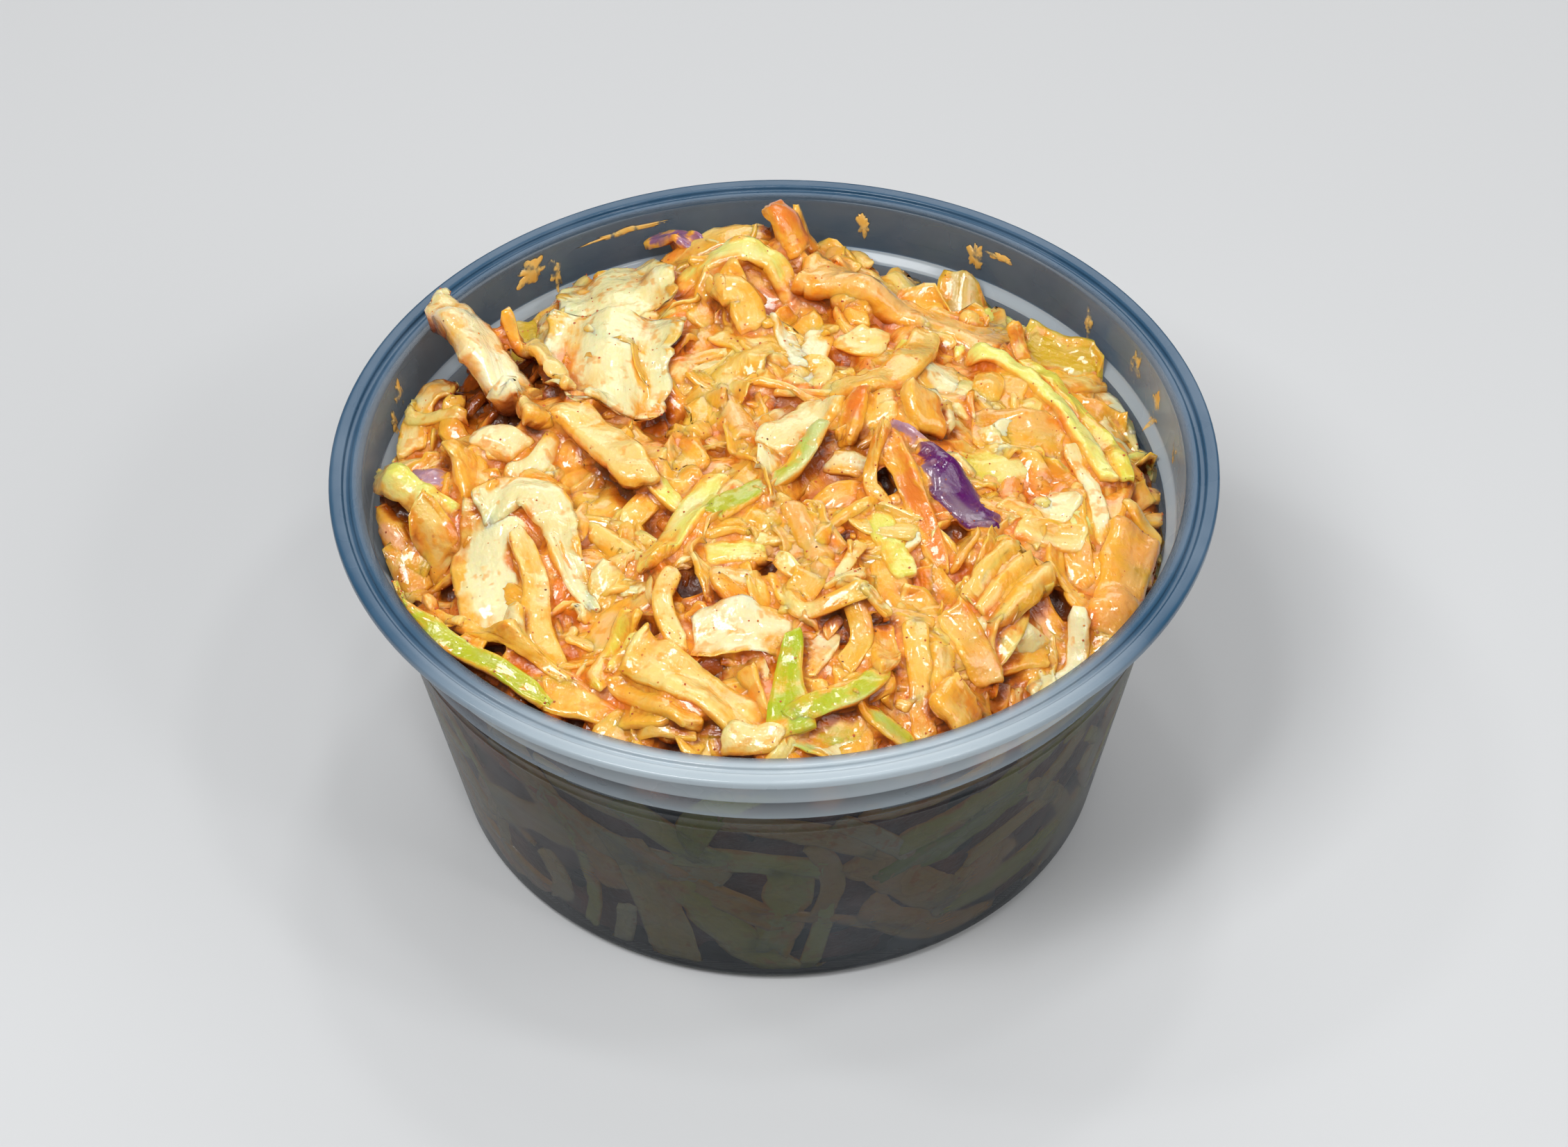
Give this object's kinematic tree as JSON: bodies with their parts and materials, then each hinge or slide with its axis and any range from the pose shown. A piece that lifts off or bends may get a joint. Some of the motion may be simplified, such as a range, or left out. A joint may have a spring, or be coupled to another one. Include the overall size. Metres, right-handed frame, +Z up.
{
  "type": "tub of coleslaw",
  "caption": "Round clear plastic tub, open at the top, filled and heaped with dressed coleslaw of cabbage shreds, leaf pieces and carrot strips.",
  "frame": {"origin": "centre of the tub's base, on the surface that it stands on", "axes": "+Z up out of the tub's mouth, -Y the front, +X the right seen from the front"},
  "size_m": [0.117, 0.117, 0.0616],
  "materials": {
    "clear_plastic": "frosted clear polypropylene, slightly bluish, glossier at the rim",
    "slaw": "moist cabbage and carrot in a peach-coloured creamy dressing with red pepper specks"
  },
  "bodies": {
    "root": {"tub": "clear_plastic", "slaw": "slaw"}
  },
  "joints": []
}
